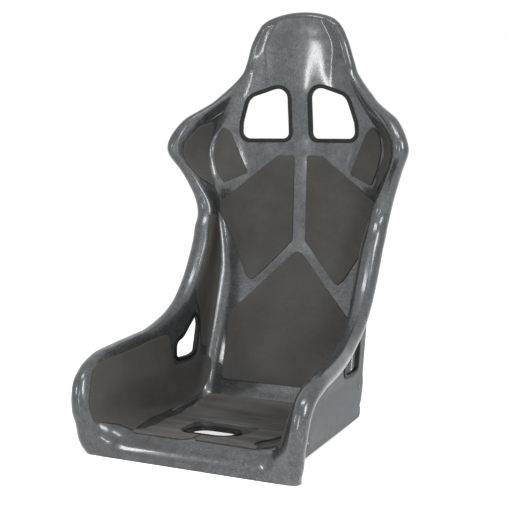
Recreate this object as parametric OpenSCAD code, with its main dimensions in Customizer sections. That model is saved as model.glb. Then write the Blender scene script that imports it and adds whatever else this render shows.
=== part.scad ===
// Fixed-back racing seat: a moulded fibre shell with a rolled rim, bonded cover panels,
// rubber-edged belt openings and threaded side mounts. Millimetres, +Z up, the seat faces -Y.
// The origin is on the floor, under the middle of the shell.

/* [Overall] */
// Height of the head of the shell above the floor
total_height = 898; // [880:1:930]
// Width over the shoulder wings
shoulder_width = 574; // [550:2:600]
// Height of the widest point of the shoulder wings
shoulder_height = 590; // [580:1:605]
// Width over the rim at the waist
waist_width = 454; // [440:2:470]
// Width over the rim of the thigh supports
thigh_width = 506; // [490:2:520]
// Width over the rim of the head
head_width = 232; // [220:2:244]
// Width between the flat inner faces of the side walls
hip_width = 390; // [380:2:396]
// Distance from the front edge to the foot of the backrest
base_length = 436; // [426:1:450]
// Height of the thigh supports' rim
thigh_height = 203; // [195:1:212]

/* [Shell] */
// Thickness of the moulded skin
skin = 5; // [4:0.5:6]
// Extra thickness of the side walls, where the seat is bolted
wall_extra = 3; // [2:0.5:4]
// Height of the roll over the front edge
nose_height = 50; // [44:1:56]
// Length of the turned-down lip after the rolled rim
lip = 14; // [8:1:18]
// Angle through which the rim rolls outwards
rim_sweep = 170; // [150:5:180]
// Depth of the dish across the upper back
dish = 14; // [8:1:18]
// Thickness of the skirt that closes each side below the seat base
skirt = 7; // [6:0.5:7.5]
// Height and width of the chamfer along the skirt's lower edge
skirt_chamfer = [20, 12.5]; // [8:0.5:24]

/* [Panels] */
// Thickness of a bonded cover panel
panel = 2.5; // [1.5:0.5:4]
// Thickness of the adhesive line behind a panel
bond = 0.8; // [0.6:0.1:1]

/* [Belt openings] */
// Width of an edge trim's leg on the face of the shell
trim_leg = 7; // [5:0.5:8]
// Thickness of the edge trim's rubber
trim_wall = 2; // [1.5:0.1:2.6]
// Clearance between an edge trim and the shell
trim_gap = 0.5; // [0.3:0.1:0.7]
// Width of the crotch strap slot
slot_width = 98; // [80:1:106]
// Length of the crotch strap slot along the base
slot_length = 78; // [64:1:84]

/* [Side mounts] */
// Distance between the two mounting holes of a side
mount_pitch = 295; // [285:1:300]
// Height of the front mounting hole
mount_front_z = 45; // [44:1:50]
// Rise from the front mounting hole to the rear one
mount_rise = 43; // [30:1:48]
// Distance of the front mounting hole behind the front edge
mount_front_y = 115; // [110:1:122]
// Diameter of the mounting thread's bore
thread_d = 8; // [6:1:10]
// Width across the flats of a hexagonal threaded insert
insert_af = 16; // [14:1:18]
// Diameter of the round pad that is spot-faced around an insert
pad_d = 34; // [30:1:40]
// Height of the pad above the side wall
pad_proud = 0.5; // [0.3:0.1:1]
// Thickness of the steel mounting plate inside a side wall
plate = 3; // [2:0.5:3]
// Height of the steel mounting plate
plate_height = 26; // [22:1:30]
// Clearance around the plate and the inserts
fit_gap = 0.15; // [0.1:0.05:0.2]

/* [Hidden] */

// Distance from the front edge to the middle of the shell's depth
mid_depth = 277.8;

half_shoulder = shoulder_width / 2;
half_waist = waist_width / 2;
half_thigh = thigh_width / 2;
half_head = head_width / 2;
half_hip = hip_width / 2;
wall = skin + wall_extra;

// Colours
FIBRE = [0.40, 0.42, 0.43];
PANEL = [0.25, 0.245, 0.23];
RUBBER = [0.08, 0.08, 0.08];
STEEL = [0.62, 0.63, 0.65];

// ---- Lofted surface of the shell --------------------------------------------------------------
// A station is a half cross-section of the occupant's side of the shell. It lies in a plane that
// holds the width axis and leans by an angle. Its path runs from the centre across the flat,
// round a corner, up a first wall, round a bend, up a second wall and over the rim's crest.
// Columns of a station, by index:
CY = 0; CZ = 1;      // centre of the section, behind the front edge and above the floor
LEAN = 2;            // direction of the wall in side view: 0 is forwards, 90 is up
RIM_X = 3;           // outermost half width of the rim
CREST = 4;           // distance from the centre to the rim's crest, along the lean
CORNER_X = 5;        // half width of the corner between flat and wall
CORNER_R = 6;        // radius of that corner
BEND_DX = 7;         // place of the wall's bend, sideways from the corner
BEND_W = 8;          // and along the lean
BEND_R = 9;          // radius of the bend
RIM_R = 10;          // radius of the rim's roll
DISH = 11;           // depth of the dish at the centre
SAG = 12;            // drop of the section's end, which rounds the head

// A station from its centre c and its crest k, both [y, z] in side view
function leaned(c, k, rest) = let (d = k - c)
    concat([c[0], c[1], atan2(d[1], -d[0])], rest[0], norm(d), [for (i = [1:9]) rest[i]]);
// A station whose section lies level, facing forwards
function level(c, k, rest) =
    concat([c[0], c[1], 0], rest[0], c[0] - k[0], [for (i = [1:9]) rest[i]]);

b = base_length;
s = shoulder_height;
t = total_height;
g = thigh_height;
n = nose_height;

// Each row: centre [y, z], crest [y, z], then
// [rim x, corner x, corner r, bend dx, bend w, bend r, rim r, dish, sag, 0]
STATIONS = [
    // front edge and nose
    level([0, 0], [0, 0], [half_waist + 2, 150, 60, 30, 0, 60, 16, 0, 0, 0]),
    leaned([4, 26], [-16, 43], [half_thigh - 14, 166, 80, 30, 12, 60, 17, 0, 0, 0]),
    leaned([20, n - 4], [-22, 86], [half_thigh - 8, 172, 60, 24, 34, 80, 18, 0, 0, 0]),
    leaned([58, n - 1], [-14, 135], [half_thigh - 4, 180, 50, 15, 62, 80, 18, 0, 0, 0]),
    // seat base between the thigh supports
    leaned([108, n - 9], [17, g - 33], [half_thigh - 2, half_hip - 7, 40, 7, 90, 80, 18, 0, 0, 0]),
    leaned([160, 37], [60, g - 15], [half_thigh, half_hip - 2, 32, 2, 105, 80, 18, 0, 0, 0]),
    leaned([240, 22], [130, g - 6], [half_thigh - 2, half_hip, 28, 0, 115, 80, 18, 0, 0, 0]),
    leaned([b - 116, 10], [b - 241, g], [half_thigh - 8, half_hip, 28, 0, 120, 80, 18, 0, 0, 0]),
    leaned([b - 51, skin + 1.55], [b - 188, g + 7], [half_thigh - 15, half_hip, 30, 0, 120, 80, 18, 0, 0, 0]),
    // rear bend and lower back
    leaned([b - 8, 24], [b - 141, 225], [half_waist + 6, half_hip, 32, 0, 115, 80, 19, 0, 0, 0]),
    leaned([b + 17, 80], [b - 96, 246], [half_waist + 3, half_hip - 1, 32, 0, 95, 80, 20, 0, 0, 0]),
    leaned([b + 47, 168], [b - 52, 284], [half_waist + 1, half_hip - 3, 34, 0, 70, 80, 21, 2, 0, 0]),
    leaned([b + 81, 275], [b - 8, 346], [half_waist, half_hip - 4, 36, 0, 45, 60, 22, 5, 0, 0]),
    leaned([b + 110, 370], [b + 25, 410], [half_waist, half_hip + 2, 36, 1, 30, 40, 22, 8, 0, 0]),
    // upper back and shoulder wings
    level([b + 116, 465], [b + 49, 465], [half_waist + 3, half_hip + 8, 32, 2, 25, 30, 21, 8, 0, 0]),
    level([b + 116, s - 60], [b + 32, s - 60], [half_shoulder - 26, 118, 80, 83, 31, 8, 18, dish - 2, 0, 0]),
    level([b + 114, s], [b + 2, s], [half_shoulder, 130, 80, 84, 25, 8, 17, dish, 0, 0]),
    level([b + 113, s + 60], [b + 24, s + 60], [half_shoulder - 27, 112, 80, 78, 13, 8, 16, dish, 0, 0]),
    level([b + 110, s + 110], [b + 67, s + 110], [half_head + 80, 90, 60, 66, 14, 20, 15, dish - 4, 0, 0]),
    // head
    level([b + 112, t - 138], [b + 100, t - 138], [half_head + 27, 80, 40, 32, 7, 20, 14, 5, 0, 0]),
    level([b + 112, t - 68], [b + 104, t - 68], [half_head, 80, 30, 10, 3, 20, 13, 3, 0, 0]),
    level([b + 113, t - 43], [b + 106, t - 43], [half_head - 8, 70, 30, 12, 3, 20, 13, 2, 9, 0]),
    level([b + 112, t - 14], [b + 106, t - 14], [half_head - 20, 56, 30, 16, 3, 20, 13, 0, 24, 0]),
];
LAST = len(STATIONS) - 1;

// Distance of each station along the centre line, from the front edge
function run(i) = i == 0 ? 0 : run(i - 1) + norm([for (c = [CY, CZ]) STATIONS[i][c] - STATIONS[i - 1][c]]);
ALONG = [for (i = [0:LAST]) run(i)];

// Slopes of every column at every station, for a smooth curve through them
function slope(i) = i == 0 ? (STATIONS[1] - STATIONS[0]) / (ALONG[1] - ALONG[0])
    : i == LAST ? (STATIONS[i] - STATIONS[i - 1]) / (ALONG[i] - ALONG[i - 1])
    : let (h0 = ALONG[i] - ALONG[i - 1], h1 = ALONG[i + 1] - ALONG[i])
      ((STATIONS[i] - STATIONS[i - 1]) * h1 / h0 + (STATIONS[i + 1] - STATIONS[i]) * h0 / h1) / (h0 + h1);
SLOPES = [for (i = [0:LAST]) slope(i)];

function interval(u, i = 0) = i >= LAST - 1 || u < ALONG[i + 1] ? i : interval(u, i + 1);
// The station at a distance u along the centre line
function station(u) = let (i = interval(u), h = ALONG[i + 1] - ALONG[i], x = (u - ALONG[i]) / h)
    (2 * x^3 - 3 * x^2 + 1) * STATIONS[i] + (x^3 - 2 * x^2 + x) * h * SLOPES[i]
    + (3 * x^2 - 2 * x^3) * STATIONS[i + 1] + (x^3 - x^2) * h * SLOPES[i + 1];

// Points [x, lean distance, heading] on a fillet of tangent length d, from p, heading a0 to a1
function fillet(p, a0, a1, d, count) = let (turn = a1 - a0)
    [for (i = [1:count]) let (a = a0 + turn * i / count,
            at = abs(turn) < 0.01 ? 2 * d * i / count * [cos(a0), sin(a0)]
                : d / tan(turn / 2) * [sin(a) - sin(a0), cos(a0) - cos(a)])
        [p[0] + at[0], p[1] + at[1], a]];

// Samples of a section on the flat, corner, first wall, bend, second wall and roll
SAMPLES = [4, 5, 1, 2, 1, 3];
COLS = SAMPLES[0] + SAMPLES[1] + SAMPLES[2] + SAMPLES[3] + SAMPLES[4] + SAMPLES[5];
// Least turn of the roll and least tangent length of a fillet, where a section is almost straight
ROLL_MIN = 12;
FILLET_MIN = 4;

function last(list) = list[len(list) - 1];
function unit(v) = v / norm(v);
function straight(p, q, a, count) = [for (i = [1:count])
    [p[0] + (q[0] - p[0]) * i / count, p[1] + (q[1] - p[1]) * i / count, a]];

// The section's path in its own plane, as [x, distance along the lean, heading]
function section(v) = let (
        roll = [v[RIM_X] - v[RIM_R], v[CREST] - v[RIM_R]],
        bend = [v[CORNER_X] + v[BEND_DX], v[BEND_W]],
        reach = max(norm(roll - bend), v[RIM_R] * 1.001),
        a1 = atan2(v[BEND_W], v[BEND_DX]),
        a2 = max(ROLL_MIN, atan2(roll[1] - bend[1], roll[0] - bend[0]) + asin(v[RIM_R] / reach)),
        h1 = norm([v[BEND_DX], v[BEND_W]]),
        d2 = min(max(FILLET_MIN, v[BEND_R] * tan(abs(a1 - a2) / 2)), 0.4 * h1, 0.8 * sqrt(reach^2 - v[RIM_R]^2)),
        d1 = max(FILLET_MIN, min(v[CORNER_R] * tan(a1 / 2), h1 - d2)),
        flat = v[CORNER_X] - d1,
        p0 = [for (i = [0:SAMPLES[0]]) let (k = i / SAMPLES[0])
            [flat * k, -v[DISH] * (1 - k^2)^2, atan(4 * v[DISH] * k * (1 - k^2) / flat)]],
        p1 = fillet([flat, 0], 0, a1, d1, SAMPLES[1]),
        p2 = straight(last(p1), bend - d2 * [cos(a1), sin(a1)], a1, SAMPLES[2]),
        p3 = fillet(last(p2), a1, a2, d2, SAMPLES[3]),
        p4 = straight(last(p3), roll + v[RIM_R] * [-sin(a2), cos(a2)], a2, SAMPLES[4]),
        p5 = [for (i = [1:SAMPLES[5]]) let (a = a2 * (1 - i / SAMPLES[5]))
            [roll[0] - v[RIM_R] * sin(a), roll[1] + v[RIM_R] * cos(a), a]])
    concat(p0, p1, p2, p3, p4, p5);

// The same path in space, in the left half of the shell: pairs of a point and the way across it
function traverse(u) = let (v = station(u), path = section(v), ends = last(path)[0],
        lean = [-cos(v[LEAN]), sin(v[LEAN])],
        rise = unit([for (c = [CY, CZ]) station(u + 1)[c] - station(u - 1)[c]]))
    [for (q = path) let (drop = -v[SAG] * (q[0] / ends)^2.6)
        [[q[0], v[CY] + q[1] * lean[0] + drop * rise[0], v[CZ] + q[1] * lean[1] + drop * rise[1]],
         [cos(q[2]), sin(q[2]) * lean[0], sin(q[2]) * lean[1]]]];
function row(u) = [for (q = traverse(u)) q[0]];

// ---- Shell ------------------------------------------------------------------------------------
// Rows of the shell's mesh in each interval between stations, closer where the shell bends
ROWS_IN = [2, 3, 3, 3, 2, 2, 2, 3, 4, 4, 4, 3, 2, 2, 3, 3, 3, 3, 2, 2, 2, 3];
ROWS_U = concat([for (i = [0:LAST - 1], k = [0:ROWS_IN[i] - 1])
    ALONG[i] + (ALONG[i + 1] - ALONG[i]) * k / ROWS_IN[i]], [ALONG[LAST]]);
ROLL_STEPS = 4;

function mirrored(p) = [-p[0], p[1], p[2]];
function both_sides(r) = concat([for (j = [COLS:-1:1]) mirrored(r[j])], r);
// Directions across the left half run towards the centre line
function returned(p) = [p[0], -p[1], -p[2]];
function both_ways(r) = concat([for (j = [COLS:-1:1]) returned(r[j])], r);
function clamp(x, lo, hi) = min(max(x, lo), hi);
function ramp(x, from, to) = clamp((x - from) / (to - from), 0, 1);

// Thickness of the skin at a point with a normal: the low, sideways-facing walls are thicker
function thickness(p, nrm) =
    skin + wall_extra * ramp(p[2], 112, 92) * ramp(p[1], 20, 50) * abs(nrm[0])^4;

module shell_blank() {
    grid = [for (u = ROWS_U) both_sides(row(u))];
    ways = [for (u = ROWS_U) both_ways([for (q = traverse(u)) q[1]])];
    r_max = len(grid) - 1;
    c_max = 2 * COLS;
    rows = r_max + 1;
    cols = c_max + 1;
    normals = [for (i = [0:r_max]) [for (j = [0:c_max])
        i == 0 ? [0, -1, 0]
        : unit(cross(ways[i][j], grid[min(i + 1, r_max)][j] - grid[i - 1][j]))]];
    // The crest line: up the right side, over the head and down the left side
    edge = concat([for (i = [0:r_max]) [i, c_max]], [for (j = [c_max - 1:-1:1]) [r_max, j]],
        [for (i = [r_max:-1:0]) [i, 0]]);
    k_max = len(edge) - 1;
    crest = [for (e = edge) grid[e[0]][e[1]]];
    radii = [for (e = edge) station(ROWS_U[e[0]])[RIM_R]];
    heading = [for (k = [0:k_max]) k == 0 ? [0, 0, 1] : k == k_max ? [0, 0, -1]
        : unit(crest[min(k + 2, k_max)] - crest[max(k - 2, 0)])];
    up = [for (k = [0:k_max]) let (m = normals[edge[k][0]][edge[k][1]]) unit(m - (m * heading[k]) * heading[k])];
    m_max = ROLL_STEPS + 1;
    // A point of the rolled rim, at a depth below its outer face
    function rolled(k, m, depth) = let (
            out = cross(heading[k], up[k]),
            a = rim_sweep * min(m, ROLL_STEPS) / ROLL_STEPS,
            nrm = up[k] * cos(a) + out * sin(a),
            at = crest[k] + radii[k] * (out * sin(a) - up[k] * (1 - cos(a))) - depth * nrm)
        m > ROLL_STEPS ? at + lip * (out * cos(a) - up[k] * sin(a)) : at;
    faces_side = [for (i = [0:r_max], j = [0:c_max]) grid[i][j]];
    backs_side = [for (i = [0:r_max], j = [0:c_max]) grid[i][j] - thickness(grid[i][j], normals[i][j]) * normals[i][j]];
    rim_face = [for (k = [0:k_max], m = [1:m_max]) rolled(k, m, 0)];
    rim_back = [for (k = [0:k_max], m = [1:m_max]) rolled(k, m, skin)];
    back0 = rows * cols;
    rim0 = 2 * rows * cols;
    rim1 = rim0 + (k_max + 1) * m_max;
    function mf(i, j) = i * cols + j;
    function mb(i, j) = back0 + i * cols + j;
    function rf(k, m) = m == 0 ? mf(edge[k][0], edge[k][1]) : rim0 + k * m_max + m - 1;
    function rb(k, m) = m == 0 ? mb(edge[k][0], edge[k][1]) : rim1 + k * m_max + m - 1;
    function quad(p, q, r, w) = [[p, q, r], [p, r, w]];
    faces = concat(
        [for (i = [0:r_max - 1], j = [0:c_max - 1], f = quad(mf(i, j), mf(i + 1, j), mf(i + 1, j + 1), mf(i, j + 1))) f],
        [for (i = [0:r_max - 1], j = [0:c_max - 1], f = quad(mb(i, j), mb(i, j + 1), mb(i + 1, j + 1), mb(i + 1, j))) f],
        [for (k = [0:k_max - 1], m = [0:m_max - 1], f = quad(rf(k, m), rf(k + 1, m), rf(k + 1, m + 1), rf(k, m + 1))) f],
        [for (k = [0:k_max - 1], m = [0:m_max - 1], f = quad(rb(k, m), rb(k, m + 1), rb(k + 1, m + 1), rb(k + 1, m))) f],
        [for (k = [0:k_max - 1], f = quad(rf(k, m_max), rf(k + 1, m_max), rb(k + 1, m_max), rb(k, m_max))) f],
        [for (j = [0:c_max - 1], f = quad(mf(0, j), mf(0, j + 1), mb(0, j + 1), mb(0, j))) f],
        [for (m = [0:m_max - 1], f = quad(rf(0, m), rf(0, m + 1), rb(0, m + 1), rb(0, m))) f],
        [for (m = [0:m_max - 1], f = quad(rf(k_max, m + 1), rf(k_max, m), rb(k_max, m), rb(k_max, m + 1))) f]);
    polyhedron(points = concat(faces_side, backs_side, rim_face, rim_back), faces = faces, convexity = 10);
}

// ---- Pieces laid on the shell's surface -------------------------------------------------------
// Places on the surface are [across, along]: across is the distance from the centre line, measured
// on the surface, and along is the distance from the front edge, measured on the centre line.

// Tables that give x, y and z on the row at u, for a distance across
function traced(u) = let (r = row(u),
        run = [for (i = 0, d = 0; i <= COLS; i = i + 1,
            d = i <= COLS ? d + norm(r[i] - r[i - 1]) : d) d])
    [for (c = [0:2]) [for (i = [0:COLS]) [run[i], r[i][c]]]];
function across(tr, a) = [(a < 0 ? -1 : 1) * lookup(abs(a), tr[0]), lookup(abs(a), tr[1]), lookup(abs(a), tr[2])];
STEP = 3;
// Points at the heights hs above the surface, on the row at u, at each distance in list
function lifted(u, list, hs) = let (tr = traced(u), lo = traced(u - STEP), hi = traced(u + STEP))
    [for (a = list) let (p = across(tr, a),
            nrm = unit(cross(across(tr, a + STEP) - across(tr, a - STEP), across(hi, a) - across(lo, a))))
        [for (h = hs) p + h * nrm]];

// An outline whose corners [across, along, radius] are rounded by arcs
function rounded(corners, steps = 6) = [for (i = [0:len(corners) - 1]) let (
        c = corners[i], prev = corners[(i + len(corners) - 1) % len(corners)], next = corners[(i + 1) % len(corners)],
        p = [c[0], c[1]],
        e0 = unit([prev[0], prev[1]] - p), e1 = unit([next[0], next[1]] - p),
        half = acos(clamp(e0 * e1, -1, 1)) / 2,
        r = c[2],
        centre = p + unit(e0 + e1) * r / sin(half),
        from = p + e0 * r / tan(half) - centre,
        to = p + e1 * r / tan(half) - centre,
        turn = 180 - 2 * half,
        way = from[0] * to[1] - from[1] * to[0] > 0 ? 1 : -1)
    each [for (k = [0:steps]) let (a = way * turn * k / steps)
        centre + [from[0] * cos(a) - from[1] * sin(a), from[0] * sin(a) + from[1] * cos(a)]]];

// Where an outline crosses the line at u: the least and the greatest distance across
function crossing(outline, u) = let (m = len(outline),
        hits = [for (i = [0:m - 1]) let (p = outline[i], q = outline[(i + 1) % m])
            if ((p[1] - u) * (q[1] - u) < 0) p[0] + (q[0] - p[0]) * (u - p[1]) / (q[1] - p[1])])
    [min(hits), max(hits)];

// A closed solid between two grids of points, of equal rows and columns
module slab(upper, lower) {
    r = len(upper) - 1;
    c = len(upper[0]) - 1;
    back = (r + 1) * (c + 1);
    function uf(i, j) = i * (c + 1) + j;
    function lf(i, j) = back + uf(i, j);
    function quad(p, q, v, w) = [[p, q, v], [p, v, w]];
    polyhedron(
        points = concat([for (line = upper, p = line) p], [for (line = lower, p = line) p]),
        faces = concat(
            [for (i = [0:r - 1], j = [0:c - 1], f = quad(uf(i, j), uf(i + 1, j), uf(i + 1, j + 1), uf(i, j + 1))) f],
            [for (i = [0:r - 1], j = [0:c - 1], f = quad(lf(i, j), lf(i, j + 1), lf(i + 1, j + 1), lf(i + 1, j))) f],
            [for (j = [0:c - 1], f = quad(uf(0, j), uf(0, j + 1), lf(0, j + 1), lf(0, j))) f],
            [for (j = [0:c - 1], f = quad(uf(r, j + 1), uf(r, j), lf(r, j), lf(r, j + 1))) f],
            [for (i = [0:r - 1], f = quad(uf(i + 1, 0), uf(i, 0), lf(i, 0), lf(i + 1, 0))) f],
            [for (i = [0:r - 1], f = quad(uf(i, c), uf(i + 1, c), lf(i + 1, c), lf(i, c))) f]),
        convexity = 6);
}

// The part of the surface inside an outline, from one height above it to another
module patch(corners, from, to, rows = 14, cols = 8) {
    outline = rounded(corners);
    inset = 0.3;
    lo = min([for (p = outline) p[1]]) + inset;
    hi = max([for (p = outline) p[1]]) - inset;
    lines = [for (i = [0:rows]) let (u = (lo + hi) / 2 - (hi - lo) / 2 * cos(180 * i / rows), span = crossing(outline, u))
        lifted(u, [for (j = [0:cols]) span[0] + (span[1] - span[0]) * j / cols], [from, to])];
    slab([for (l = lines) [for (p = l) p[1]]], [for (l = lines) [for (p = l) p[0]]]);
}

module cover(corners, rows, cols, lift = 0)
    color(PANEL) patch(corners, bond + lift, bond + lift + panel, rows, cols);

// Half an outline, completed about the centre line
function doubled(half) = concat(half, [for (i = [len(half) - 1:-1:0]) if (half[i][0] > 0) [-half[i][0], half[i][1], half[i][2]]]);

// Distances along the centre line of the shoulder wings, the foot of the back and the nose
at_wings = ALONG[16];
at_foot = ALONG[10];
at_nose = ALONG[3];

function moved(corners, u) = [for (c = corners) [c[0], c[1] + u, c[2]]];

// ---- Belt openings ----------------------------------------------------------------------------
shoulder_hole = moved([[27, 22, 16], [143, 22, 18], [140, 60, 50], [121, 119, 32], [60, 139, 40], [27, 141, 24]], at_wings);
lap_hole = moved([[296, 45, 10], [263, 55, 12], [259, -17, 16], [302, -61, 60], [326, -94, 12], [362, -73, 14]], at_foot);
crotch_hole = moved([[slot_width / 2, -slot_length / 2, 30], [slot_width / 2, slot_length / 2, 30],
    [-slot_width / 2, slot_length / 2, 30], [-slot_width / 2, -slot_length / 2, 30]], at_nose + 56);

// An outline with points added, so that no side is longer than the step
function refined(outline, step = 18) = [for (i = [0:len(outline) - 1]) let (
        p = outline[i], q = outline[(i + 1) % len(outline)], parts = ceil(norm(q - p) / step))
    each [for (k = [0:parts - 1]) p + (q - p) * k / parts]];
function edge_line(corners) = refined(rounded(corners, 4));

// A solid with the section of an opening, that stands on both sides of the shell
module through(corners) {
    outline = edge_line(corners);
    count = len(outline);
    mean = [for (c = [0, 1]) [for (p = outline) p[c]] * [for (p = outline) 1] / count];
    ends = [for (p = concat(outline, [mean])) lifted(p[1], [p[0]], [-3 * wall, 2 * wall])[0]];
    polyhedron(
        points = concat([for (e = ends) e[0]], [for (e = ends) e[1]]),
        faces = [for (i = [0:count - 1]) let (j = (i + 1) % count, top = count + 1)
            each [[i, j, count], [top + j, top + i, top + count], [i, top + i, top + j], [i, top + j, j]]],
        convexity = 4);
}

// A U-shaped rubber strip that grips the edge of an opening, with a leg on each face
module edge_trim(corners) {
    outline = edge_line(corners);
    count = len(outline);
    pts = [for (p = outline) lifted(p[1], [p[0]], [0, 1])[0]];
    function ring(i) = let (
            p = pts[i][0], nrm = pts[i][1] - p,
            out = unit(cross(pts[(i + 1) % count][0] - pts[(i + count - 1) % count][0], nrm)),
            under = thickness(p, nrm) + trim_gap, over = trim_gap)
        [for (q = [[trim_leg, over], [trim_leg, over + trim_wall], [-trim_wall, over + trim_wall],
                [-trim_wall, -under - trim_wall], [trim_leg, -under - trim_wall], [trim_leg, -under],
                [-trim_gap, -under], [-trim_gap, over]])
            p + q[0] * out + q[1] * nrm];
    rings = [for (i = [0:count - 1]) ring(i)];
    m = len(rings[0]);
    color(RUBBER) polyhedron(
        points = [for (r = rings, p = r) p],
        faces = [for (i = [0:count - 1], j = [0:m - 1]) let (
                v = [i * m + j, (i + 1) % count * m + j, (i + 1) % count * m + (j + 1) % m, i * m + (j + 1) % m])
            each [[v[0], v[2], v[1]], [v[0], v[3], v[2]]]],
        convexity = 6);
}

// ---- Cover panels -----------------------------------------------------------------------------
upper_back = moved([[16, -14, 8], [55, -15, 10], [202, -128, 9], [202, -150, 9], [122, -298, 10],
    [106, -311, 10], [16, -209, 9]], at_wings);
lower_back = moved(doubled([[0, 299, 18], [151, 133, 16], [149, -21, 14]]), at_foot);
base_outline = moved(doubled([[124, -26, 8], [120, 34, 60], [153, 179, 200], [182, 287, 60], [184, 345, 30],
    [168, 379, 22]]), at_nose);
base_cutout = moved(doubled([[44, 4, 30], [66, 50, 60], [72, 128, 26], [44, 162, 30]]), at_nose);
thigh = moved([[390, -85, 9], [404, -112, 30], [402, -135, 60], [375, -239, 200], [349, -334, 60], [327, -382, 40], [245, -454, 50],
    [210, -477, 12], [184, -461, 20], [169, -451, 12], [132, -457, 6], [141, -422, 40], [161, -353, 200],
    [191, -216, 200], [200, -108, 40], [190, -68, 60], [177, -7, 30], [182, 27, 10], [200, 17, 20],
    [258, -31, 60], [286, -60, 100], [301, -84, 40]], at_foot);
thigh_notch = moved([[290, -66, 1], [301, -84, 40], [315, -113, 11], [360, -96, 60], [396, -82, 1], [396, -66, 1]], at_foot);
waist = moved([[206, -167, 10], [270, -159, 10], [277, -275, 200], [283, -331, 100], [316, -427, 12], [300, -451, 10],
    [266, -449, 20], [223, -504, 7], [191, -483, 9], [188, -440, 60], [187, -320, 300]], at_wings);
wing_inner = moved([[128, -56, 6], [169, 36, 14], [185, 52, 9], [203, 34, 40], [211, -4, 60], [203, -50, 60],
    [187, -80, 6]], at_wings);
wing_outer = moved([[213, 62, 5], [250, 52, 26], [292, 16, 20], [296, -10, 20], [282, -34, 40], [247, -68, 60],
    [206, -93, 5], [213, -68, 30], [222, -38, 40], [226, -6, 60], [221, 22, 40], [208, 46, 12]], at_wings);

// ---- Side mounts ------------------------------------------------------------------------------
face_x = half_hip + wall + pad_proud;
plate_x = half_hip + 2;
mount_run = sqrt(mount_pitch^2 - mount_rise^2);
front_mount = [mount_front_y, mount_front_z];
rear_mount = front_mount + [mount_run, mount_rise];

// Round bar across the side wall at a mount, from one distance off the centre plane to another
module across_wall(mount, from, to, d)
    translate([from, mount[0], mount[1]]) rotate([0, 90, 0]) cylinder(h = to - from, d = d, $fn = 48);

// Hexagonal bar across the side wall, of a width across its flats
module hexagon(mount, from, to, width) side_slice(from, to)
    polygon([for (i = [0:5]) mount + width / sqrt(3) * [cos(60 * i), sin(60 * i)]]);

module plate_outline(grow)
    hull() for (m = [front_mount, rear_mount]) translate(m) circle(d = plate_height + 2 * grow, $fn = 48);

// A flat slice of the side wall, drawn in side view
module side_slice(from, to) translate([from, 0, 0]) rotate([90, 0, 90]) linear_extrude(to - from) children();

module mount_plate() color(STEEL) difference() {
    side_slice(plate_x, plate_x + plate) plate_outline(0);
    for (m = [front_mount, rear_mount]) hexagon(m, plate_x - 1, plate_x + plate + 1, insert_af + 2 * fit_gap);
}

module insert(mount) color(STEEL) difference() {
    hexagon(mount, plate_x, face_x, insert_af);
    across_wall(mount, plate_x - 1, face_x + 1, thread_d);
}

// The skirt closes the side below the seat base, down to the floor. Its lower edge is chamfered and
// turns under the base, and its upper edge runs out flush into the wall.
module side_skirt() let (out = half_hip + wall - 0.5, in = out - skirt, heel = out - skirt_chamfer[1]) intersection() {
    side_slice(heel - 5, out) polygon([[14, 0], [b - 46, 0], [b - 30, 14], [b - 19, 30], [b - 13, 46], [b - 30, 54],
        [b - 116, 56], [225, 64], [160, 96], [102, 116], [54, 112], [30, 102], [14, 92]]);
    translate([0, b, 0]) rotate([90, 0, 0]) linear_extrude(b)
        polygon([[heel - 5, 0], [heel, 0], [out, skirt_chamfer[0]], [out, 80], [out - 2.9, 118], [in, 118], [in, 30],
            [heel - 5, 8]]);
}

module seat_shell() color(FIBRE) difference() {
    union() {
        shell_blank();
        for (side = [0, 1]) mirror([side, 0, 0]) {
            side_skirt();
            for (m = [front_mount, rear_mount]) across_wall(m, half_hip + 1, face_x, pad_d);
        }
    }
    through(crotch_hole);
    for (side = [0, 1]) mirror([side, 0, 0]) {
        through(shoulder_hole);
        through(lap_hole);
        side_slice(plate_x - fit_gap, plate_x + plate + fit_gap) plate_outline(fit_gap);
        for (m = [front_mount, rear_mount])
            hexagon(m, plate_x - fit_gap, face_x + 1, insert_af + 2 * fit_gap);
    }
}

module thigh_panel() difference() {
    cover(thigh, 20, 12, 0.4);
    patch(thigh_notch, -2, bond + panel + 2, 10, 4);
}

module seat_base_panel() color(PANEL) difference() {
    patch(base_outline, bond, bond + panel, 18, 14);
    patch(base_cutout, -2, bond + panel + 2, 10, 6);
    patch([[2, at_nose - 40, 0.5], [2, at_nose + 12, 0.5], [-2, at_nose + 12, 0.5], [-2, at_nose - 40, 0.5]],
        -2, bond + panel + 2, 8, 1);
}

// The seat's own right half is built as drawn; its mirror image is the left half
module drawn(side) translate([0, -mid_depth, 0]) mirror([side, 0, 0]) children();
LEFT = 0;
RIGHT = 1;

drawn(LEFT) seat_shell();
drawn(LEFT) cover(upper_back, 16, 8, 0.3);  // upper_back_panel_left
drawn(RIGHT) cover(upper_back, 16, 8, 0.3);  // upper_back_panel_right
drawn(LEFT) cover(lower_back, 14, 12, 0.3);  // lower_back_panel
drawn(LEFT) seat_base_panel();
drawn(LEFT) thigh_panel();  // thigh_panel_left
drawn(RIGHT) thigh_panel();  // thigh_panel_right
drawn(LEFT) cover(waist, 14, 7, 0.9);  // waist_panel_left
drawn(RIGHT) cover(waist, 14, 7, 0.9);  // waist_panel_right
drawn(LEFT) cover(wing_inner, 10, 7);  // wing_inner_panel_left
drawn(RIGHT) cover(wing_inner, 10, 7);  // wing_inner_panel_right
drawn(LEFT) cover(wing_outer, 12, 5, 0.4);  // wing_outer_panel_left
drawn(RIGHT) cover(wing_outer, 12, 5, 0.4);  // wing_outer_panel_right
drawn(LEFT) edge_trim(shoulder_hole);  // shoulder_slot_trim_left
drawn(RIGHT) edge_trim(shoulder_hole);  // shoulder_slot_trim_right
drawn(LEFT) edge_trim(lap_hole);  // lap_slot_trim_left
drawn(RIGHT) edge_trim(lap_hole);  // lap_slot_trim_right
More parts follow.
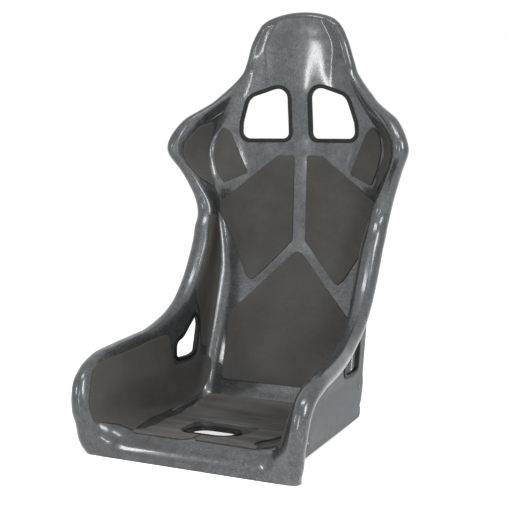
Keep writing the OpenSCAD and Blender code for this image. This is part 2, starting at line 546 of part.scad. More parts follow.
drawn(LEFT) edge_trim(crotch_hole);  // crotch_slot_trim
drawn(LEFT) mount_plate();  // side_mount_plate_left
drawn(RIGHT) mount_plate();  // side_mount_plate_right
drawn(LEFT) insert(front_mount);  // front_insert_left
drawn(RIGHT) insert(front_mount);  // front_insert_right
drawn(LEFT) insert(rear_mount);  // rear_insert_left
drawn(RIGHT) insert(rear_mount);  // rear_insert_right
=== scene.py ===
import math

import bmesh
import bpy
import numpy as np
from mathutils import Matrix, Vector


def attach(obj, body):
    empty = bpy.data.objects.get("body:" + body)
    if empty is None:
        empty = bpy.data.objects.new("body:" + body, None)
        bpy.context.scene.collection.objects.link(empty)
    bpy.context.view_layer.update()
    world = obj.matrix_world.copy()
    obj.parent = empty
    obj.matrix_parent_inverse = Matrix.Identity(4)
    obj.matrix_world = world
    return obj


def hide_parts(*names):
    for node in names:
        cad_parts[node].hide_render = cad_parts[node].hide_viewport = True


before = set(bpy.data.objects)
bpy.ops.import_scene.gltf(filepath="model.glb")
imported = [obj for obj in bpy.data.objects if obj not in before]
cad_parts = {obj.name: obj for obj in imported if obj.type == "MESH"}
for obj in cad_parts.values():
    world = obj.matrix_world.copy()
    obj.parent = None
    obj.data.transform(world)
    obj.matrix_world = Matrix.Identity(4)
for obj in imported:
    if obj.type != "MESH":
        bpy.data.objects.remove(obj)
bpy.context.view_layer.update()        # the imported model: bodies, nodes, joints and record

for cad_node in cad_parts.values():
    cad_node.select_set(False)


# ---- Fibre shell ------------------------------------------------------------------------------
# The body of the seat is one skin of chopped glass in tinted resin, laid up in a mould: base, back,
# wings and head in one sweep, with a rim rolled outwards all round. A skirt closes each side down
# to the floor, and round pads on it are spot-faced for the mounts.

MM = 0.001
HALF_WAIST = 227
HALF_THIGH = 253
HALF_SHOULDER = 287
HALF_HEAD = 116
HALF_HIP = 195
FOOT = 436                  # from the front edge to the foot of the back
WINGS = 590                 # height of the shoulder wings
TOP = 898
THIGH_Z = 203
NOSE_Z = 50
SKIN = 5
WALL_EXTRA = 3
WALL = SKIN + WALL_EXTRA
LIP = 14
RIM_SWEEP = 170
DISH_DEPTH = 14
MID_DEPTH = 277.8           # from the front edge to the origin

# A station is a half section: centre [y, z], crest [y, z], then rim x, corner x, corner radius,
# bend dx, bend rise, bend radius, rim radius, dish and end drop. Its columns, after the centre:
LEAN, RIM_X, CREST, CORNER_X, CORNER_R, BEND_DX, BEND_W, BEND_R, RIM_R, DISH, DROP = range(2, 13)


def leaned(centre, crest, *rest):
    dy, dz = crest[0] - centre[0], crest[1] - centre[1]
    return [*centre, math.atan2(dz, -dy), rest[0], math.hypot(dy, dz), *rest[1:]]


def level(centre, crest_y, *rest):
    return [*centre, 0, rest[0], centre[0] - crest_y, *rest[1:]]


STATIONS = np.array([
    # front edge and nose
    level([0, 0], 0, HALF_WAIST + 2, 150, 60, 30, 0, 60, 16, 0, 0),
    leaned([4, 26], [-16, 43], HALF_THIGH - 14, 166, 80, 30, 12, 60, 17, 0, 0),
    leaned([20, NOSE_Z - 4], [-22, 86], HALF_THIGH - 8, 172, 60, 24, 34, 80, 18, 0, 0),
    leaned([58, NOSE_Z - 1], [-14, 135], HALF_THIGH - 4, 180, 50, 15, 62, 80, 18, 0, 0),
    # base between the thigh supports
    leaned([108, NOSE_Z - 9], [17, THIGH_Z - 33], HALF_THIGH - 2, HALF_HIP - 7, 40, 7, 90, 80, 18, 0, 0),
    leaned([160, 37], [60, THIGH_Z - 15], HALF_THIGH, HALF_HIP - 2, 32, 2, 105, 80, 18, 0, 0),
    leaned([240, 22], [130, THIGH_Z - 6], HALF_THIGH - 2, HALF_HIP, 28, 0, 115, 80, 18, 0, 0),
    leaned([FOOT - 116, 10], [FOOT - 241, THIGH_Z], HALF_THIGH - 8, HALF_HIP, 28, 0, 120, 80, 18, 0, 0),
    leaned([FOOT - 51, SKIN + 1.55], [FOOT - 188, THIGH_Z + 7], HALF_THIGH - 15, HALF_HIP, 30, 0, 120,
           80, 18, 0, 0),
    # rear bend and lower back
    leaned([FOOT - 8, 24], [FOOT - 141, 225], HALF_WAIST + 6, HALF_HIP, 32, 0, 115, 80, 19, 0, 0),
    leaned([FOOT + 17, 80], [FOOT - 96, 246], HALF_WAIST + 3, HALF_HIP - 1, 32, 0, 95, 80, 20, 0, 0),
    leaned([FOOT + 47, 168], [FOOT - 52, 284], HALF_WAIST + 1, HALF_HIP - 3, 34, 0, 70, 80, 21, 2, 0),
    leaned([FOOT + 81, 275], [FOOT - 8, 346], HALF_WAIST, HALF_HIP - 4, 36, 0, 45, 60, 22, 5, 0),
    leaned([FOOT + 110, 370], [FOOT + 25, 410], HALF_WAIST, HALF_HIP + 2, 36, 1, 30, 40, 22, 8, 0),
    # upper back and shoulder wings
    level([FOOT + 116, 465], FOOT + 49, HALF_WAIST + 3, HALF_HIP + 8, 32, 2, 25, 30, 21, 8, 0),
    level([FOOT + 116, WINGS - 60], FOOT + 32, HALF_SHOULDER - 26, 118, 80, 83, 31, 8, 18, DISH_DEPTH - 2, 0),
    level([FOOT + 114, WINGS], FOOT + 2, HALF_SHOULDER, 130, 80, 84, 25, 8, 17, DISH_DEPTH, 0),
    level([FOOT + 113, WINGS + 60], FOOT + 24, HALF_SHOULDER - 27, 112, 80, 78, 13, 8, 16, DISH_DEPTH, 0),
    level([FOOT + 110, WINGS + 110], FOOT + 67, HALF_HEAD + 80, 90, 60, 66, 14, 20, 15, DISH_DEPTH - 4, 0),
    # head
    level([FOOT + 112, TOP - 138], FOOT + 100, HALF_HEAD + 27, 80, 40, 32, 7, 20, 14, 5, 0),
    level([FOOT + 112, TOP - 68], FOOT + 104, HALF_HEAD, 80, 30, 10, 3, 20, 13, 3, 0),
    level([FOOT + 113, TOP - 43], FOOT + 106, HALF_HEAD - 8, 70, 30, 12, 3, 20, 13, 2, 9),
    level([FOOT + 112, TOP - 14], FOOT + 106, HALF_HEAD - 20, 56, 30, 16, 3, 20, 13, 0, 24),
])
ALONG = np.concatenate([[0], np.cumsum(np.hypot(*np.diff(STATIONS[:, :2], axis=0).T))])
GAPS = np.diff(ALONG)
STEPS = np.diff(STATIONS, axis=0)
SLOPES = np.vstack([
    STEPS[0] / GAPS[0],
    [(STEPS[i] * GAPS[i + 1] / GAPS[i] + STEPS[i + 1] * GAPS[i] / GAPS[i + 1]) / (GAPS[i] + GAPS[i + 1])
     for i in range(len(GAPS) - 1)],
    STEPS[-1] / GAPS[-1]])


def station(u):
    """The section at a distance u behind the front edge, along the centre line."""
    i = int(np.clip(np.searchsorted(ALONG, u, side="right") - 1, 0, len(GAPS) - 1))
    h = GAPS[i]
    x = (u - ALONG[i]) / h
    return ((2 * x**3 - 3 * x**2 + 1) * STATIONS[i] + (x**3 - 2 * x**2 + x) * h * SLOPES[i]
            + (3 * x**2 - 2 * x**3) * STATIONS[i + 1] + (x**3 - x**2) * h * SLOPES[i + 1])


# Samples of a section on the flat, corner, first wall, bend, second wall and roll
SAMPLES = (18, 10, 4, 6, 5, 6)
COLS = sum(SAMPLES)
ROLL_MIN = math.radians(12)
FILLET_MIN = 4


def fillet(start, a0, a1, tangent, count):
    """Points and headings on an arc that turns from a0 to a1, a tangent length either side."""
    t = np.arange(1, count + 1) / count
    a = a0 + (a1 - a0) * t
    if abs(a1 - a0) < 2e-4:
        x, w = 2 * tangent * t * math.cos(a0), 2 * tangent * t * math.sin(a0)
    else:
        radius = tangent / math.tan((a1 - a0) / 2)
        x, w = radius * (np.sin(a) - math.sin(a0)), radius * (math.cos(a0) - np.cos(a))
    return np.stack([start[0] + x, start[1] + w, a], axis=1)


def straight(start, end, a, count):
    t = np.arange(1, count + 1)[:, None] / count
    path = start[:2] + (np.array(end) - start[:2]) * t
    return np.hstack([path, np.full((count, 1), a)])


def section(v):
    """The path of half a section in its own plane: x, distance along the lean, heading."""
    roll = np.array([v[RIM_X] - v[RIM_R], v[CREST] - v[RIM_R]])
    bend = np.array([v[CORNER_X] + v[BEND_DX], v[BEND_W]])
    gap = roll - bend
    reach = max(np.hypot(*gap), v[RIM_R] * 1.001)
    a1 = math.atan2(v[BEND_W], v[BEND_DX])
    a2 = max(ROLL_MIN, math.atan2(gap[1], gap[0]) + math.asin(v[RIM_R] / reach))
    h1 = math.hypot(v[BEND_DX], v[BEND_W])
    d2 = min(max(FILLET_MIN, v[BEND_R] * math.tan(abs(a1 - a2) / 2)), 0.4 * h1,
             0.8 * math.sqrt(reach**2 - v[RIM_R]**2))
    d1 = max(FILLET_MIN, min(v[CORNER_R] * math.tan(a1 / 2), h1 - d2))
    flat = v[CORNER_X] - d1
    k = np.arange(SAMPLES[0] + 1) / SAMPLES[0]
    p0 = np.stack([flat * k, -v[DISH] * (1 - k**2)**2,
                   np.arctan(4 * v[DISH] * k * (1 - k**2) / flat)], axis=1)
    p1 = fillet((flat, 0), 0, a1, d1, SAMPLES[1])
    p2 = straight(p1[-1], bend - d2 * np.array([math.cos(a1), math.sin(a1)]), a1, SAMPLES[2])
    p3 = fillet(p2[-1], a1, a2, d2, SAMPLES[3])
    p4 = straight(p3[-1], roll + v[RIM_R] * np.array([-math.sin(a2), math.cos(a2)]), a2, SAMPLES[4])
    a = a2 * (1 - np.arange(1, SAMPLES[5] + 1) / SAMPLES[5])
    p5 = np.stack([roll[0] - v[RIM_R] * np.sin(a), roll[1] + v[RIM_R] * np.cos(a), a], axis=1)
    return np.vstack([p0, p1, p2, p3, p4, p5])


def row(u):
    """Half a section in space, from the centre line to the crest of the rim."""
    v = station(u)
    path = section(v)
    lean = np.array([-math.cos(v[LEAN]), math.sin(v[LEAN])])
    rise = station(u + 1)[:2] - station(u - 1)[:2]
    rise /= np.hypot(*rise)
    drop = -v[DROP] * (path[:, 0] / path[-1, 0])**2.6
    yz = v[:2] + path[:, 1:2] * lean + drop[:, None] * rise
    return np.stack([path[:, 0], yz[:, 0] - MID_DEPTH, yz[:, 1]], axis=1)


def unit(v):
    return v / np.maximum(np.linalg.norm(v, axis=-1, keepdims=True), 1e-9)


def deselect_all():
    if bpy.context.mode != "OBJECT":
        bpy.ops.object.mode_set(mode="OBJECT")
    bpy.ops.object.select_all(action="DESELECT")


def pick(obj):
    deselect_all()
    obj.select_set(True)
    bpy.context.view_layer.objects.active = obj


def apply_modifiers(obj):
    pick(obj)
    for name in [m.name for m in obj.modifiers]:
        bpy.ops.object.modifier_apply(modifier=name)


ROW_STEP = 6                # spacing of the shell's rows along the centre line
rows_u = np.concatenate([np.linspace(a, b, max(3, round((b - a) / ROW_STEP)), endpoint=False)
                         for a, b in zip(ALONG, ALONG[1:])] + [[ALONG[-1]]])
half_rows = np.array([row(u) for u in rows_u])


def ease(x, start, end):
    t = np.clip((x - start) / (end - start), 0, 1)
    return t * t * (3 - 2 * t)


def faired(rows, first, full, last_full, last, passes):
    """The rows with their ridges rubbed down between two distances along the centre line."""
    weight = 0.5 * ease(rows_u, first, full) * ease(rows_u, last, last_full)
    weight = weight[:, None, None] * ease(np.arange(COLS + 1), COLS, COLS - 8)[None, :, None]
    for _ in range(passes):
        wide = np.concatenate([rows[:, 1:2] * (-1, 1, 1), rows, rows[:, -1:]], axis=1)
        mean = (wide[:, :-2] + wide[:, 2:]) / 4
        mean[1:-1] += (rows[:-2] + rows[2:]) / 4
        mean[0] += rows[0] / 2
        mean[-1] += rows[-1] / 2
        rows = rows + weight * (mean - rows)
    return rows


half_rows = faired(half_rows, ALONG[12] + 50, ALONG[13] + 30, ALONG[15] - 10, ALONG[16] - 10, 60)
half_rows = faired(half_rows, ALONG[16] + 25, ALONG[17] + 5, ALONG[18] + 40, ALONG[19] + 20, 60)
half_rows = faired(half_rows, 5, 40, ALONG[4], ALONG[6], 30)
for _ in range(10):         # the rim runs smoothly past the waist
    mean = (half_rows[:-2] + half_rows[2:]) / 2
    weight = 0.5 * ease(rows_u[1:-1], ALONG[11], ALONG[12]) * ease(rows_u[1:-1], ALONG[16] - 20, ALONG[15])
    half_rows[1:-1] += weight[:, None, None] * (mean - half_rows[1:-1])

mirror = np.array([-1, 1, 1])
face_grid = np.concatenate([half_rows[:, :0:-1] * mirror, half_rows], axis=1)
N_ROWS, N_COLS = face_grid.shape[:2]

# The face is a grid whose vertices are laid on the sections
bpy.ops.mesh.primitive_grid_add(x_subdivisions=N_COLS - 1, y_subdivisions=N_ROWS - 1, size=1)
shell = bpy.context.object
shell.name = "fibre_shell"
shell.data.vertices.foreach_set("co", (face_grid.reshape(-1, 3) * MM).ravel())
shell.data.update()

# The rim is drawn outwards from the crest, in steps round its radius and then down the lip
crest_line = ([(i, N_COLS - 1) for i in range(N_ROWS)] + [(N_ROWS - 1, j) for j in range(N_COLS - 2, 0, -1)]
              + [(i, 0) for i in range(N_ROWS - 1, -1, -1)])
crest = np.array([face_grid[i, j] for i, j in crest_line])
K = len(crest)
rim_radius = np.array([station(rows_u[i])[RIM_R] for i, _ in crest_line])
NEAR = 4                    # crest points either side that give its direction
heading = unit(np.array([crest[min(k + NEAR, K - 1)] - crest[max(k - NEAR, 0)] for k in range(K)]))
heading[0], heading[-1] = (0, 0, 1), (0, 0, -1)


def surface_normals(grid):
    down = np.gradient(grid, axis=0)
    over = np.gradient(grid, axis=1)
    return unit(np.cross(over, down))


face_normals = surface_normals(face_grid)
up = np.array([face_normals[i, j] for i, j in crest_line])
# Round the corners of the head the roll turns gradually, over a length of the crest
EASED = 16
crest_run = np.concatenate([[0], np.cumsum(np.linalg.norm(np.diff(crest, axis=0), axis=1))])
top_corners = crest_run[[N_ROWS - 1, K - N_ROWS]]
pull = np.gradient(crest_run) * np.exp(-((crest_run[:, None] - crest_run) / EASED)**2 / 2)
share = ease(np.abs(crest_run[:, None] - top_corners).min(axis=1), 5 * EASED, 3 * EASED)[:, None]
up = unit((1 - share) * up + share * unit(pull @ up))
heading = unit((1 - share) * heading + share * unit(pull @ heading))
up = unit(up - np.sum(up * heading, axis=1, keepdims=True) * heading)
out = np.cross(heading, up)

mesh = shell.data
rim_index = mesh.attributes.new("rim_index", "INT", "POINT")
marks = np.zeros(len(mesh.vertices), np.int32)
for k, (i, j) in enumerate(crest_line):
    marks[i * N_COLS + j] = k + 1
rim_index.data.foreach_set("value", marks)

ROLL_STEPS = 12
rings = [crest + rim_radius[:, None] * (out * math.sin(a) - up * (1 - math.cos(a)))
         for a in np.radians(RIM_SWEEP) * np.arange(1, ROLL_STEPS + 1) / ROLL_STEPS]
end = math.radians(RIM_SWEEP)
rings += [rings[-1] + LIP * t * (out * math.cos(end) - up * math.sin(end)) for t in (0.5, 1)]
pick(shell)
bpy.ops.object.mode_set(mode="EDIT")
bm = bmesh.from_edit_mesh(mesh)
layer = bm.verts.layers.int["rim_index"]
bpy.ops.mesh.select_mode(type="EDGE")
bpy.ops.mesh.select_all(action="DESELECT")
for e in bm.edges:
    a, b = (v[layer] for v in e.verts)
    e.select_set(e.is_boundary and a > 0 and b > 0 and abs(a - b) == 1)
bmesh.update_edit_mesh(mesh)
for ring in rings:
    bpy.ops.mesh.extrude_edges_move()
    bm = bmesh.from_edit_mesh(mesh)
    layer = bm.verts.layers.int["rim_index"]
    for v in bm.verts:
        if v.select:
            v.co = Vector(ring[v[layer] - 1] * MM)
    bmesh.update_edit_mesh(mesh)
bpy.ops.mesh.select_all(action="SELECT")
bpy.ops.mesh.normals_make_consistent(inside=False)
bpy.ops.object.mode_set(mode="OBJECT")
if mesh.vertex_normals[(N_ROWS // 2) * N_COLS + N_COLS // 2].vector.y > 0:
    mesh.flip_normals()

# Thickness: the low side walls are thicker, where the seat is bolted
co = np.empty(len(mesh.vertices) * 3)
mesh.vertices.foreach_get("co", co)
co = co.reshape(-1, 3) / MM
nrm = np.array([v.vector for v in mesh.vertex_normals])
extra = ease(co[:, 2], 112, 92) * ease(co[:, 1] + MID_DEPTH, 20, 50) * np.abs(nrm[:, 0])**4
group = shell.vertex_groups.new(name="thickness")
for i, t in enumerate((SKIN + WALL_EXTRA * extra) / WALL):
    group.add([i], t, "REPLACE")
solid = shell.modifiers.new("skin", "SOLIDIFY")
solid.thickness = WALL * MM
solid.offset = -1
solid.vertex_group = "thickness"
apply_modifiers(shell)
shell.vertex_groups.clear()
mesh.attributes.remove(mesh.attributes["rim_index"])

# The lower edge is ground flat on the floor, and the cut edges are eased
bpy.ops.object.mode_set(mode="EDIT")
bpy.ops.mesh.select_all(action="SELECT")
bpy.ops.mesh.bisect(plane_co=(0, 0, 0), plane_no=(0, 0, 1), clear_inner=True, use_fill=True)
bpy.ops.object.mode_set(mode="OBJECT")
soft = shell.modifiers.new("edges", "BEVEL")
soft.limit_method = "ANGLE"
soft.angle_limit = math.radians(50)
soft.width = 0.6 * MM
soft.segments = 2
apply_modifiers(shell)


# Places on the shell are [across, along]: across is measured on the surface from the centre line,
# along on the centre line from the front edge. A dense table of the face turns them into points.
CELL = 2
ACROSS_MAX = 470
across_at = np.arange(0, ACROSS_MAX + CELL, CELL)


def resampled(line):
    """A row's points at equal distances across, carried on straight beyond the crest."""
    run = np.concatenate([[0], np.cumsum(np.linalg.norm(np.diff(line, axis=0), axis=1))])
    way = (line[-1] - line[-2]) / (run[-1] - run[-2])
    inner = np.stack([np.interp(across_at, run, line[:, c]) for c in range(3)], axis=1)
    return inner + np.clip(across_at - run[-1], 0, None)[:, None] * way


face_table = np.array([resampled(line) for line in half_rows])
along_way = np.gradient(face_table, rows_u, axis=0)
across_way = np.gradient(face_table, CELL, axis=1)
across_way[:, 0] = (1, 0, 0)
normal_table = unit(np.cross(across_way, along_way))


def on_shell(places, heights=0.0):
    """Points in space over places on the shell, at heights above its face."""
    places = np.asarray(places, float)
    a, u = np.abs(places[:, 0]), places[:, 1]
    i = np.clip(np.searchsorted(rows_u, u, side="right") - 1, 0, len(rows_u) - 2)
    t = np.clip((u - rows_u[i]) / (rows_u[i + 1] - rows_u[i]), -1, 2)[:, None]
    j = np.clip((a / CELL).astype(int), 0, len(across_at) - 2)
    s = (a / CELL - j)[:, None]
    blend = lambda table: ((1 - t) * ((1 - s) * table[i, j] + s * table[i, j + 1])
                           + t * ((1 - s) * table[i + 1, j] + s * table[i + 1, j + 1]))
    point = blend(face_table)
    normal = unit(blend(normal_table))
    side = np.where(places[:, 0] < 0, -1, 1)[:, None] ** np.array([1, 0, 0])
    rise = np.broadcast_to(np.asarray(heights, float).reshape(-1, 1), point[:, :1].shape)
    return (point + rise * normal) * side, normal * side


def rounded(corners, steps=8):
    """An outline whose corners [across, along, radius] are turned by arcs."""
    outline = []
    for i, (x, y, r) in enumerate(corners):
        p = np.array([x, y], float)
        e0 = unit(np.array(corners[i - 1][:2], float) - p)
        e1 = unit(np.array(corners[(i + 1) % len(corners)][:2], float) - p)
        half = math.acos(np.clip(e0 @ e1, -1, 1)) / 2
        centre = p + unit(e0 + e1) * r / math.sin(half)
        start = p + e0 * r / math.tan(half) - centre
        stop = p + e1 * r / math.tan(half) - centre
        turn = math.copysign(math.pi - 2 * half, start[0] * stop[1] - start[1] * stop[0])
        for a in turn * np.arange(steps + 1) / steps:
            outline.append(centre + [start[0] * math.cos(a) - start[1] * math.sin(a),
                                     start[0] * math.sin(a) + start[1] * math.cos(a)])
    return np.array(outline)


def refined(outline, step):
    """An outline with points added, so that no side is longer than the step."""
    points = []
    for p, q in zip(outline, np.roll(outline, -1, axis=0)):
        parts = max(1, math.ceil(np.hypot(*(q - p)) / step - 1e-6))
        points += [p + (q - p) * k / parts for k in range(parts)]
    keep = [p for i, p in enumerate(points) if np.hypot(*(p - points[i - 1])) > 0.05]
    return np.array(keep)


def moved(corners, u):
    return [(x, y + u, r) for x, y, r in corners]


def doubled(half):
    return list(half) + [(-x, y, r) for x, y, r in reversed(half) if x > 0]


def mirrored(corners):
    return [(-x, y, r) for x, y, r in corners]


AT_WINGS, AT_FOOT, AT_NOSE = ALONG[16], ALONG[10], ALONG[3]
SLOT_WIDTH = 98
SLOT_LENGTH = 78
shoulder_hole = moved([(27, 22, 16), (143, 22, 18), (140, 60, 50), (121, 119, 32), (60, 139, 40),
                       (27, 141, 24)], AT_WINGS)
lap_hole = moved([(296, 45, 10), (263, 55, 12), (259, -17, 16), (302, -61, 60), (326, -94, 12),
                  (362, -73, 14)], AT_FOOT)
slot_corners = [(SLOT_WIDTH / 2, -SLOT_LENGTH / 2, 30), (SLOT_WIDTH / 2, SLOT_LENGTH / 2, 30),
                (-SLOT_WIDTH / 2, SLOT_LENGTH / 2, 30), (-SLOT_WIDTH / 2, -SLOT_LENGTH / 2, 30)]
crotch_hole = moved(slot_corners, AT_NOSE + 56)
openings = {"shoulder_slot_trim_left": shoulder_hole, "shoulder_slot_trim_right": mirrored(shoulder_hole),
            "lap_slot_trim_left": lap_hole, "lap_slot_trim_right": mirrored(lap_hole),
            "crotch_slot_trim": crotch_hole}


def mesh_object(name, points, faces):
    data = bpy.data.meshes.new(name)
    data.from_pydata([tuple(p) for p in np.asarray(points) * MM], [],
                     [tuple(int(i) for i in f) for f in faces])
    data.update()
    obj = bpy.data.objects.new(name, data)
    bpy.context.scene.collection.objects.link(obj)
    return obj


def outwards(obj):
    pick(obj)
    bpy.ops.object.mode_set(mode="EDIT")
    bpy.ops.mesh.select_all(action="SELECT")
    bpy.ops.mesh.remove_doubles(threshold=1e-6)
    bpy.ops.mesh.normals_make_consistent(inside=False)
    bpy.ops.object.mode_set(mode="OBJECT")


# Each opening is sawn square through the skin
REACH_BACK, REACH_FRONT = -20, 14


def saw(name, corners):
    outline = refined(rounded(corners), 4)
    n = len(outline)
    ends = np.vstack([outline, outline.mean(axis=0)])
    low, high = (on_shell(ends, h)[0] for h in (REACH_BACK, REACH_FRONT))
    faces = []
    for i in range(n):
        j = (i + 1) % n
        faces += [(i, j, n), (n + 1 + j, n + 1 + i, 2 * n + 1), (i, n + 1 + i, n + 1 + j, j)]
    cutter = mesh_object(name, np.vstack([low, high]), faces)
    outwards(cutter)
    return cutter


def cut(obj, tool, operation="DIFFERENCE"):
    boolean = obj.modifiers.new(operation.lower(), "BOOLEAN")
    boolean.operation = operation
    boolean.solver = "EXACT"
    boolean.object = tool
    apply_modifiers(obj)
    bpy.data.objects.remove(tool, do_unlink=True)


# The skirt of each side stands flush with the wall above it
PAD_PROUD = 0.5
FACE_X = HALF_HIP + WALL + PAD_PROUD
SKIRT = 7
PAD_D = 34
INSERT_AF = 16
FIT = 0.15
MOUNTS = {"front": (115 - MID_DEPTH, 45), "rear": (115 - MID_DEPTH + math.sqrt(295**2 - 43**2), 88)}
SKIRT_SUNK = 0.1            # depth of its face under the wall's
SKIRT_CHAMFER = (20, 12.5)  # height and width along its lower edge
TAPER_Z, TAPER = 80, (38, 2.9)      # its upper edge leans in from this height: length and depth
HEEL_Z, HEEL = 30, (22, 10.5)       # its heel falls inwards from this height: drop and width
SKIRT_OUTLINE = [(14, 0, 4), (FOOT - 46, 0, 8), (FOOT - 30, 14, 20), (FOOT - 22, 28, 16), (FOOT - 21, 40, 3),
                 (FOOT - 36, 50, 8), (FOOT - 116, 56, 30), (225, 64, 30), (160, 96, 30), (102, 116, 20),
                 (54, 112, 20), (30, 102, 20), (14, 92, 4)]


def side_plate(name, corners, x0, x1, sign):
    """A flat plate in side view, between two distances off the centre plane."""
    outline = rounded(corners, steps=4)
    n = len(outline)
    y, z = outline[:, 0] - MID_DEPTH, outline[:, 1]
    points = np.vstack([np.stack([np.full(n, sign * x), y, z], axis=1) for x in (x0, x1)])
    faces = [tuple(range(n)), tuple(range(2 * n - 1, n - 1, -1))]
    faces += [(i, (i + 1) % n, n + (i + 1) % n, n + i) for i in range(n)]
    plate = mesh_object(name, points, faces)
    outwards(plate)
    return plate


def planed(obj, x, z, x_way, z_way, sign):
    """A solid with all beyond a plane cut off: the plane holds [x, z] and faces [x_way, z_way]."""
    pick(obj)
    bpy.ops.object.mode_set(mode="EDIT")
    bpy.ops.mesh.select_all(action="SELECT")
    bpy.ops.mesh.bisect(plane_co=(sign * x * MM, 0, z * MM), plane_no=(sign * x_way, 0, z_way),
                        clear_outer=True, use_fill=True)
    bpy.ops.object.mode_set(mode="OBJECT")
    return obj


def skirt_solids(sign):
    """The upright of a skirt, and the heel that turns under the base."""
    outer = FACE_X - PAD_PROUD - SKIRT_SUNK
    high, wide = SKIRT_CHAMFER
    upright = side_plate("skirt", SKIRT_OUTLINE, outer - SKIRT, outer, sign)
    planed(upright, outer, TAPER_Z, *TAPER, sign)
    heel = side_plate("heel", SKIRT_OUTLINE, outer - wide - 5, outer - SKIRT + 0.5, sign)
    planed(heel, outer - SKIRT, HEEL_Z, -HEEL[0], HEEL[1], sign)
    return [planed(solid, outer, high, high, -wide, sign) for solid in (upright, heel)]


def bar(name, mount, x0, x1, d, sign, bevel=0.0, sides=64):
    """A bar across the side wall at a mount."""
    bpy.ops.mesh.primitive_cylinder_add(vertices=sides, radius=d / 2 * MM, depth=(x1 - x0) * MM,
                                        location=(sign * (x0 + x1) / 2 * MM, mount[0] * MM, mount[1] * MM),
                                        rotation=(0, math.pi / 2, 0))
    obj = bpy.context.object
    obj.name = name
    bpy.ops.object.transform_apply(location=True, rotation=True, scale=True)
    if bevel:
        edge = obj.modifiers.new("edge", "BEVEL")
        edge.width = bevel * MM
        edge.segments = 2
        apply_modifiers(obj)
    return obj


def hexagon_bar(name, mount, x0, x1, flats, sign, bevel=0.0):
    return bar(name, mount, x0, x1, 2 * flats / math.sqrt(3), sign, bevel, sides=6)


PAD_SLOPE = 7               # width over which a pad's edge runs out
PAD_DEPTH = 3


def pad(mount, sign):
    """A spot-faced pad, run out into the wall all round."""
    bpy.ops.mesh.primitive_cone_add(vertices=64, radius1=PAD_D / 2 * MM, radius2=(PAD_D / 2 - PAD_SLOPE) * MM,
                                    depth=PAD_DEPTH * MM,
                                    location=(sign * (FACE_X - PAD_DEPTH / 2) * MM, mount[0] * MM,
                                              mount[1] * MM),
                                    rotation=(0, sign * math.pi / 2, 0))
    obj = bpy.context.object
    bpy.ops.object.transform_apply(location=True, rotation=True, scale=True)
    return obj


def joined(objects):
    pick(objects[0])
    for obj in objects:
        obj.select_set(True)
    bpy.ops.object.join()
    return objects[0]


both_mounts = [(sign, mount) for sign in (1, -1) for mount in MOUNTS.values()]
for sign in (1, -1):
    for solid in skirt_solids(sign):
        cut(shell, solid, "UNION")
cut(shell, joined([pad(mount, sign) for sign, mount in both_mounts]), "UNION")
cut(shell, joined([saw(name, corners) for name, corners in openings.items()]
                  + [hexagon_bar("seat", mount, HALF_HIP + 2 - FIT, FACE_X + 1, INSERT_AF + 2 * FIT, sign)
                     for sign, mount in both_mounts]))
pick(shell)
bpy.ops.object.shade_smooth_by_angle(angle=math.radians(35))


# The laminate's finish: chopped strands show through the tinted gelcoat as short pale flecks, and
# the outside of the low side walls is sprayed plain grey
def put(tree, kind, sockets=None, **settings):
    """A node in a tree, with its settings, and its sockets set or fed."""
    node = tree.nodes.new(kind)
    for name, value in settings.items():
        setattr(node, name, value)
    for name, value in (sockets or {}).items():
        if isinstance(value, bpy.types.NodeSocket):
            tree.links.new(value, node.inputs[name])
        else:
            node.inputs[name].default_value = value
    return node


def new_group(name, inputs, outputs):
    """A shader node group with named sockets: (name, type, default)."""
    tree = bpy.data.node_groups.new(name, "ShaderNodeTree")
    for label, kind, default in inputs:
        socket = tree.interface.new_socket(label, in_out="INPUT", socket_type="NodeSocket" + kind)
        if default is not None:
            socket.default_value = default
    for label, kind in outputs:
        tree.interface.new_socket(label, in_out="OUTPUT", socket_type="NodeSocket" + kind)
    return tree, tree.nodes.new("NodeGroupInput").outputs, tree.nodes.new("NodeGroupOutput")


def blotches_group():
    """Soft uneven patches, finer or coarser, between two levels."""
    tree, given, made = new_group("uneven_patches", [("Vector", "Vector", None), ("Scale", "Float", 10.0),
                                                     ("Low", "Float", 0.0), ("High", "Float", 1.0)],
                                  [("Value", "Float")])
    noise = put(tree, "ShaderNodeTexNoise", {"Vector": given["Vector"], "Scale": given["Scale"],
                                             "Detail": 4.0, "Roughness": 0.55})
    level = put(tree, "ShaderNodeMapRange", {"Value": noise.outputs["Fac"], "From Min": 0.3, "From Max": 0.7,
                                             "To Min": given["Low"], "To Max": given["High"]})
    tree.links.new(level.outputs["Result"], made.inputs["Value"])
    return tree


STRAND_WAYS = [(0, 0, 0), (0, 1.1, 0.5), (0.6, 0.4, 1.6), (1.2, 0.8, 2.4), (0.3, 1.4, 1.1)]


def strands_group():
    """Short fibres that lie every way, as a mask."""
    tree, given, made = new_group("chopped_strands", [("Vector", "Vector", None), ("Scale", "Float", 300.0),
                                                      ("Cover", "Float", 0.5)], [("Mask", "Float")])
    total = None
    for turn in STRAND_WAYS:
        lie = put(tree, "ShaderNodeMapping", {"Vector": given["Vector"], "Rotation": turn,
                                              "Scale": (6, 1, 1)}, vector_type="TEXTURE")
        noise = put(tree, "ShaderNodeTexNoise", {"Vector": lie.outputs["Vector"], "Scale": given["Scale"],
                                                 "Detail": 1.0})
        fleck = put(tree, "ShaderNodeMapRange", {"Value": noise.outputs["Fac"], "From Min": given["Cover"],
                                                 "From Max": 0.85}, interpolation_type="SMOOTHSTEP")
        if total is None:
            total = fleck.outputs["Result"]
        else:
            both = put(tree, "ShaderNodeMath", operation="MAXIMUM")
            tree.links.new(total, both.inputs[0])
            tree.links.new(fleck.outputs["Result"], both.inputs[1])
            total = both.outputs["Value"]
    tree.links.new(total, made.inputs["Mask"])
    return tree


uneven_patches = blotches_group()
chopped_strands = strands_group()


